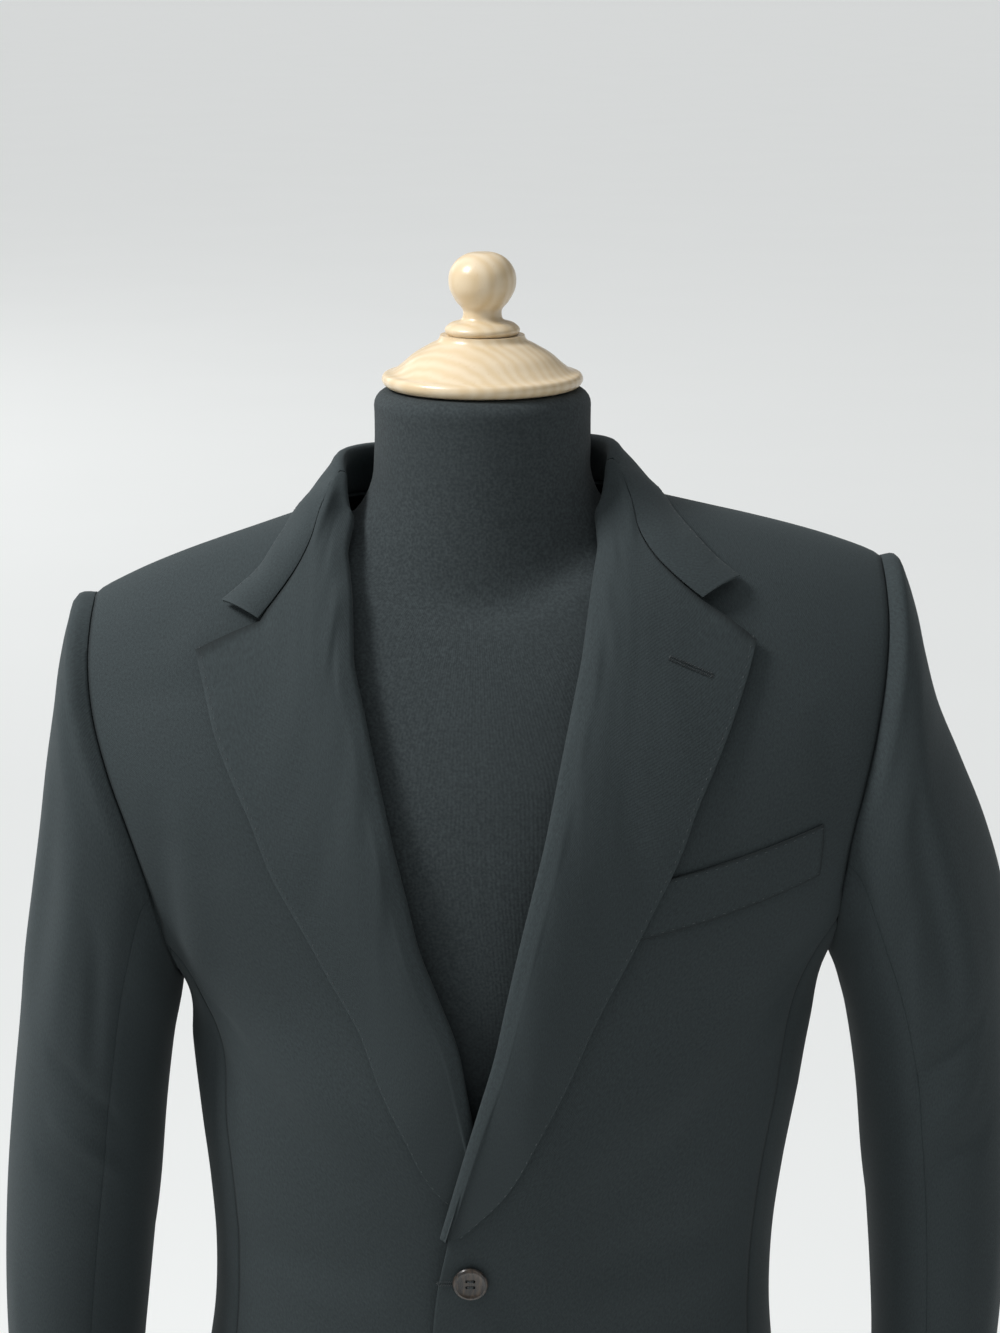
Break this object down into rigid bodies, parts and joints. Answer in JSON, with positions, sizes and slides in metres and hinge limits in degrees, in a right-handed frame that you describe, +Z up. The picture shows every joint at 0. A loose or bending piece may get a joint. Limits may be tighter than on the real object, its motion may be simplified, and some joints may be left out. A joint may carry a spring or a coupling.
{
  "type": "sport coat on a dress form",
  "caption": "Charcoal wool sport coat with notch lapels, breast welt and front buttons, closed on a limbless black dress form with a wooden neck cap, pole and round base.",
  "frame": {"origin": "centre of the round base's underside, on the floor", "axes": "+Z up, the coat's front faces -Y, +X is the wearer's left"},
  "size_m": [0.6021, 0.36, 1.625],
  "materials": {
    "wool": "matte charcoal wool with a faint nap",
    "horn": "polished dark horn",
    "jersey": "matte black stretch jersey",
    "beech": "satin varnish",
    "steel": "satin black paint"
  },
  "bodies": {
    "root": {"front_left": "wool", "front_right": "wool", "side_body_left": "wool", "side_body_right": "wool", "back_left": "wool", "back_right": "wool", "top_sleeve_left": "wool", "top_sleeve_right": "wool", "under_sleeve_left": "wool", "under_sleeve_right": "wool", "lapel_left": "wool", "lapel_right": "wool", "collar": "wool", "breast_welt": "wool", "button_upper": "horn", "button_lower": "horn", "form_body": "jersey", "neck_cap": "beech", "finial": "beech", "pole": "steel", "base": "steel"}
  },
  "joints": []
}
